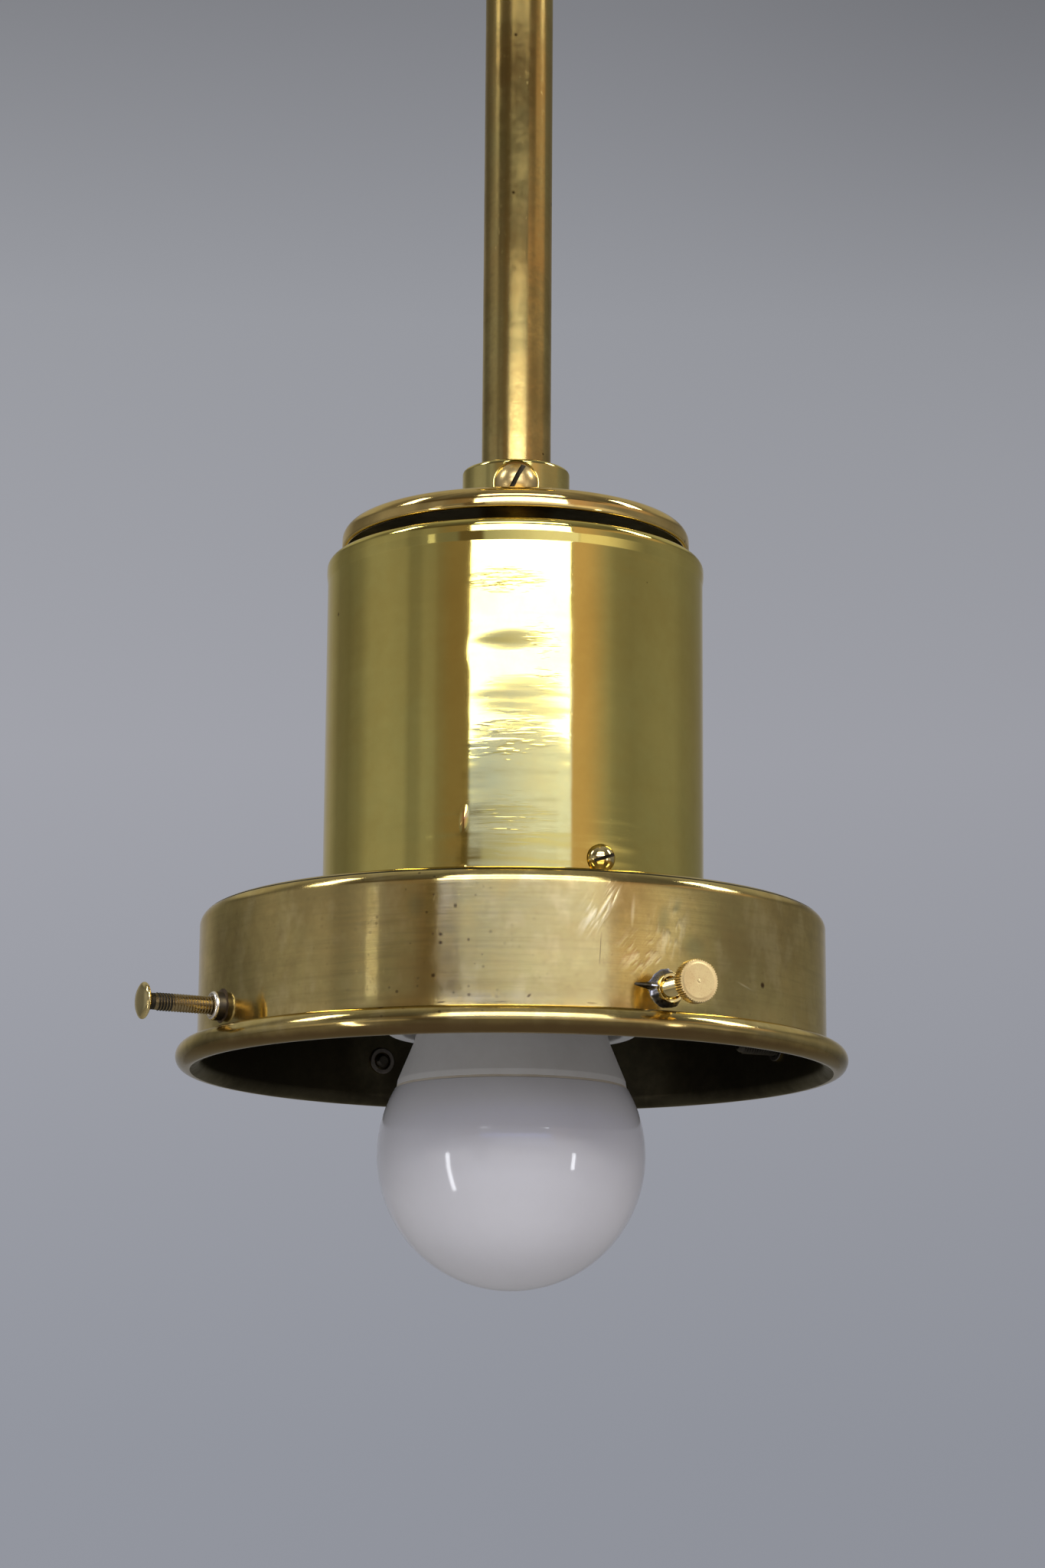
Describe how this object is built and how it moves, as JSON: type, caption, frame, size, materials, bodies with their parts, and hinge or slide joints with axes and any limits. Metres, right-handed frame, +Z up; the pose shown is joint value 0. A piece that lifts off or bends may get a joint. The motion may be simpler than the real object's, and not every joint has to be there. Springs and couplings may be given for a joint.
{
  "type": "pendant light",
  "caption": "Short brass pendant light: a tube from a ceiling eye, a closed cup round the lampholder and a spun gallery with thumbscrews for a glass shade, with its bulb.",
  "frame": {"origin": "centre of the hanging eye's hole, where the ceiling hook carries the light", "axes": "+Z up along the tube; +X along the eye's hole, to the right as the light is seen; -Y is the front, the side with the set screws"},
  "size_m": [0.1172, 0.1189, 0.359],
  "materials": {
    "canopy_brass": "polished and lacquered",
    "rod_brass": "aged satin",
    "collar_brass": "satin, turned",
    "cover_brass": "satin",
    "cup_brass": "polished and lacquered",
    "gallery_brass": "spun satin, with some patina",
    "thumbscrew_brass": "turned",
    "bush_brass": "turned",
    "solder_grey": "dull solder",
    "eye_brass": "cast, aged",
    "nipple_brass": "bright threaded",
    "washer_steel": "zinc plated",
    "screw_steel": "zinc plated",
    "block_white": "moulded",
    "contact_brass": "stamped",
    "live_brown": "smooth insulation",
    "neutral_blue": "smooth insulation",
    "holder_white": "moulded",
    "core_ceramic": "glazed ceramic",
    "bulb_opal": "opal, glossy",
    "bulb_white": "moulded",
    "bulb_cap_metal": "rolled sheet",
    "bulb_black": "vitrified insulator",
    "bulb_tip_metal": "tinned",
    "board_green": "lacquered board",
    "led_plate_white": "white resist",
    "led_yellow": "phosphor"
  },
  "bodies": {
    "frame": {"rod": "rod_brass", "cup": "cup_brass", "cup_screws": "cup_brass", "gallery": "gallery_brass", "gallery_bushes": "bush_brass", "solder_fillets": "solder_grey", "hanging_eye": "eye_brass", "upper_nipple": "nipple_brass", "lower_nipple": "nipple_brass", "nipple_nut": "nipple_brass", "nipple_washer": "washer_steel", "block_screws": "screw_steel", "block_fixing_screw": "screw_steel", "holder_lock_screw": "screw_steel", "terminal_screws": "screw_steel", "terminal_block": "block_white", "block_tubes": "contact_brass", "holder_shell": "contact_brass", "centre_contact": "contact_brass", "holder_terminals": "contact_brass", "live_lead": "live_brown", "neutral_lead": "neutral_blue", "holder_cap": "holder_white", "holder_skirt": "holder_white", "holder_core": "core_ceramic"},
    "cover": {"cup_cover": "cover_brass", "cover_collar": "collar_brass", "cover_set_screw": "collar_brass"},
    "ceiling_cover": {"canopy": "canopy_brass", "canopy_collar": "collar_brass", "canopy_set_screw": "collar_brass"},
    "bulb": {"bulb_tip_contact": "bulb_tip_metal", "bulb_insulator": "bulb_black", "bulb_cap_shell": "bulb_cap_metal", "bulb_housing": "bulb_white", "driver_board": "board_green", "led_plate": "led_plate_white", "led_chips": "led_yellow", "bulb_globe": "bulb_opal"},
    "thumbscrew_right": {"thumbscrew_right": "thumbscrew_brass"},
    "thumbscrew_rear_right": {"thumbscrew_rear_right": "thumbscrew_brass"},
    "thumbscrew_rear_left": {"thumbscrew_rear_left": "thumbscrew_brass"},
    "thumbscrew_left": {"thumbscrew_left": "thumbscrew_brass"}
  },
  "joints": [
    {"name": "cover_slide", "type": "slide", "parent": "frame", "child": "cover", "axis": [0, 0, 1], "range_m": [-0.002, 0.05]},
    {"name": "canopy_slide", "type": "slide", "parent": "frame", "child": "ceiling_cover", "axis": [0, 0, -1], "range_m": [0, 0.07]},
    {"name": "bulb_unscrew", "type": "slide", "parent": "frame", "child": "bulb", "axis": [0, 0, -1], "range_m": [0, 0.06]},
    {"name": "screw_right", "type": "slide", "parent": "frame", "child": "thumbscrew_right", "axis": [-0.454, 0.891, 0], "range_m": [-0.005, 0.006]},
    {"name": "screw_rear_right", "type": "slide", "parent": "frame", "child": "thumbscrew_rear_right", "axis": [-0.891, -0.454, 0], "range_m": [-0.0085, 0.003]},
    {"name": "screw_rear_left", "type": "slide", "parent": "frame", "child": "thumbscrew_rear_left", "axis": [0.454, -0.891, 0], "range_m": [-0.0015, 0.01]},
    {"name": "screw_left", "type": "slide", "parent": "frame", "child": "thumbscrew_left", "axis": [0.891, 0.454, 0], "range_m": [-0.0015, 0.0105]}
  ]
}
